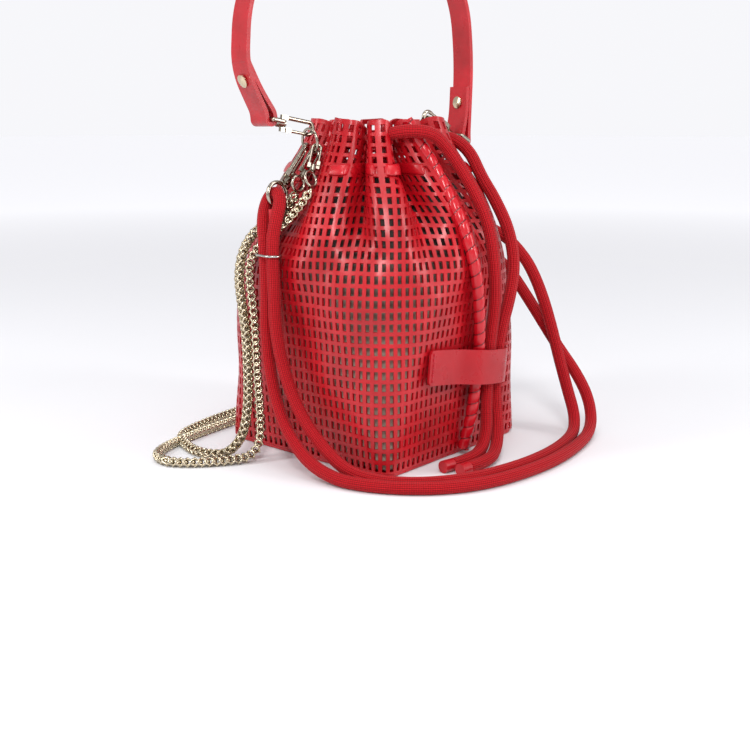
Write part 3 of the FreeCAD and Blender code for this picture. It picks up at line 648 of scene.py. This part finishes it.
def keeper_label():
    """The keeper: a smooth strip with round corners that bridges the seam and both cords."""
    points, marks = resampled(nurbs_line(LABEL_LINE), 1.0 * MM)
    tilt = math.radians(LABEL_TILT)
    round_off, rows = 3.0 * MM, []
    for share in np.linspace(-1, 1, 17):
        row = []
        for at, mark in zip(points, marks):
            near = max(0.0, round_off - min(mark, marks[-1] - mark))
            half = LABEL_H / 2 * MM - (round_off - math.sqrt(round_off ** 2 - near ** 2))
            z = share * half
            row.append((at[0] * math.cos(tilt) + z * math.sin(tilt), at[1],
                        LABEL_Z * MM + z * math.cos(tilt) - at[0] * math.sin(tilt)))
        rows.append(row)
    count = len(points)
    vertices, faces = [], []
    outward = np.array((0, -1, 0)) * LABEL_T * MM / 2
    for lift in (1, -1):
        for row in rows:
            vertices.extend(np.array(row) + outward * lift)
    size = count * len(rows)
    for i in range(len(rows) - 1):
        for j in range(count - 1):
            a, b = i * count + j, i * count + j + 1
            c, d = b + count, a + count
            faces += [(a, b, c, d), (size + d, size + c, size + b, size + a)]
    rim = list(range(count)) + [i * count + count - 1 for i in range(1, len(rows))]
    rim += [size - 2 - j for j in range(count - 1)] + [i * count for i in range(len(rows) - 2, 0, -1)]
    for a, b in zip(rim, rim[1:] + rim[:1]):
        faces.append((a, size + a, size + b, b))
    return piece("keeper_label_strip", vertices, faces, LABEL_LEATHER, slot="trim_leather",
                 replaced=["keeper_label"], sharp=50)


# ---- seam, cords and chain -------------------------------------------------------------------------
CORD_DIAMETER = 9 * MM
LINK_LONG, LINK_WIDE, LINK_WIRE = 6.6 * MM, 4.3 * MM, 1.6 * MM
LINK_STEP, LINK_APART, LINK_LEAN = 2.55 * MM, 1.35 * MM, 33


def wrapped_seam():
    """The lace wound round the front seam: each turn swells and overlaps the last."""
    points, marks = resampled(nurbs_line(SEAM_ROUTE), 0.6 * MM)
    radius = 4.5 * MM

    def profile(mark, angles):
        turn = np.mod(mark / WRAP_PITCH - angles / math.tau, 1.0)
        swell = np.sin(turn * math.pi) ** 0.35
        return radius * (0.74 + 0.2 * swell + 0.06 * turn)

    vertices, faces, uvs = swept(points, marks, 40, profile)
    return piece("wrapped_seam", vertices, faces, WRAP, slot="trim_leather",
                 replaced=["seam_lace"], uvs=uvs)


def knit_tube(name, route, replaced):
    """A knitted cord along a route, with 13 ribs round it."""
    points, marks = resampled(nurbs_line(route), 2.0 * MM)
    diameter = CORD_DIAMETER

    def profile(_, angles):
        ridges = np.abs(np.cos(angles * 6.5))
        return diameter / 2 * (0.955 + 0.06 * ridges)

    vertices, faces, uvs = swept(points, marks, 52, profile)
    obj = piece(name, vertices, faces, CORD_KNIT, slot="cord_knit", replaced=replaced, uvs=uvs)
    return obj


def oval_link(long, wide, wire):
    """One link around the origin: long along X, wide along Y."""
    steps, sides = 14, 6
    vertices, faces = [], []
    for i in range(steps):
        a = math.tau * i / steps
        middle = np.array((math.cos(a) * long / 2, math.sin(a) * wide / 2, 0))
        out = np.array((math.cos(a) * wide, math.sin(a) * long, 0))
        out = out / np.linalg.norm(out)
        for j in range(sides):
            b = math.tau * j / sides
            vertices.append(middle + (out * math.cos(b) + np.array((0, 0, 1)) * math.sin(b)) * wire / 2)
    for i in range(steps):
        for j in range(sides):
            k, m = (i + 1) % steps, (j + 1) % sides
            faces.append((i * sides + j, k * sides + j, k * sides + m, i * sides + m))
    return np.array(vertices), faces


def chain():
    """Wheat chain: pairs of leaning links, each pair turned a quarter from the last."""
    points, _ = resampled(nurbs_line(CHAIN_ROUTE), LINK_STEP)
    tangents, side, up = frames(points)
    link, link_faces = oval_link(LINK_LONG, LINK_WIDE, LINK_WIRE)
    vertices, faces = [], []
    for i, at in enumerate(points):
        first, second = (side[i], up[i]) if i % 2 else (up[i], side[i])
        for lean in (1, -1):
            angle = math.radians(LINK_LEAN * lean)
            long = tangents[i] * math.cos(angle) + first * math.sin(angle)
            normal = np.cross(long, second)
            middle = at + first * (LINK_APART * lean)
            base = len(vertices)
            vertices.extend(middle + link[:, :1] * long + link[:, 1:2] * second + link[:, 2:] * normal)
            faces.extend(tuple(base + v for v in face) for face in link_faces)
    obj = piece("wheat_chain", vertices, faces, CHAIN_METAL, slot="chain_metal", replaced=["chain"])
    return obj


body()
lining()
neck_lace()
keeper_label()
wrapped_seam()
knit_tube("shoulder_cord_knit", SHOULDER_ROUTE, ["shoulder_cord"])
knit_tube("drawstring_front_knit", DRAW_FRONT_ROUTE, ["drawstring_front", "drawstring_neck"])
knit_tube("drawstring_back_knit", DRAW_BACK_ROUTE, ["drawstring_back"])
chain()

# ---- finishes of the frame's own pieces --------------------------------------------------------------
BY_SLOT = {"hardware_metal": HOOK_METAL, "rivet_metal": RIVET_METAL, "ring_metal": SILVER,
           "chain_metal": CHAIN_METAL, "body_leather": BODY_LEATHER, "trim_leather": TRIM_LEATHER,
           "cord_knit": CORD_KNIT, "core_fibre": THREAD, "stitch_thread": THREAD,
           "lining_fabric": LINING, "board": BOARD}
for row in frame["record"]["subparts"]:
    node = bpy.data.objects[row["node"]]
    for holder in node.material_slots:
        holder.material = BY_SLOT[row["material_slot"]]

# ---- floor and light -------------------------------------------------------------------------------
STUDIO_COLOR = (0.97, 0.97, 1.0, 1)
STUDIO_LIGHT, STUDIO_SEEN = 0.60, 0.96
FLOOR_HALF, FLOOR_GLOW = 30, 0.47
GLOW_FROM, GLOW_TO = 0.35, 2.5
AIM = (0, 0, 0.13)


def floor():
    """A white floor that glows like the surroundings far away, so that no horizon shows."""
    half = FLOOR_HALF
    corners = [(-half, -half, 0), (half, -half, 0), (half, half, 0), (-half, half, 0)]
    mesh = bpy.data.meshes.new("floor")
    mesh.from_pydata(corners, [], [(0, 1, 2, 3)])
    m = Nodes("white_floor", (0.80, 0.80, 0.82), 0.7, Emission_Color=STUDIO_COLOR)
    m.bump(m.noise(m.coords(), 40, 2), 0.02, 0.0005)
    away = m.tree.nodes.new("ShaderNodeVectorMath")
    away.operation = "LENGTH"
    m.link(m.coords(), away.inputs[0])
    glow = m.ramp(away.outputs["Value"], 0, FLOOR_GLOW, GLOW_FROM, GLOW_TO)
    m.link(glow, m.shader.inputs["Emission Strength"])
    mesh.materials.append(m.material)
    obj = bpy.data.objects.new("floor", mesh)
    bpy.context.collection.objects.link(obj)


def softbox(name, at, aim, size, power):
    """An area light of this size in metres and power in watts, turned towards its aim."""
    data = bpy.data.lights.new(name, "AREA")
    data.shape = "RECTANGLE"
    data.size, data.size_y = size
    data.energy = power
    obj = bpy.data.objects.new(name, data)
    obj.location = at
    obj.rotation_euler = (Vector(aim) - Vector(at)).to_track_quat("-Z", "Y").to_euler()
    bpy.context.collection.objects.link(obj)


floor()
softbox("key", (-1.15, -0.95, 1.25), AIM, (0.35, 0.6), 16)
softbox("left", (-1.0, 0.55, 0.7), AIM, (0.22, 0.9), 6)
softbox("right", (0.5, -1.2, 0.6), AIM, (0.25, 0.9), 7)
softbox("top", (-0.1, -0.1, 1.5), (0, 0, 0.1), (0.8, 0.8), 6)
world = bpy.data.worlds.new("studio")
world.use_nodes = True
shade = world.node_tree.nodes["Background"]
shade.inputs["Color"].default_value = STUDIO_COLOR
seen = world.node_tree.nodes.new("ShaderNodeLightPath")
level = world.node_tree.nodes.new("ShaderNodeMapRange")
level.inputs["To Min"].default_value = STUDIO_LIGHT
level.inputs["To Max"].default_value = STUDIO_SEEN
world.node_tree.links.new(seen.outputs["Is Camera Ray"], level.inputs["Value"])
world.node_tree.links.new(level.outputs[0], shade.inputs["Strength"])
bpy.context.scene.world = world
bpy.context.scene.view_settings.view_transform = "Standard"
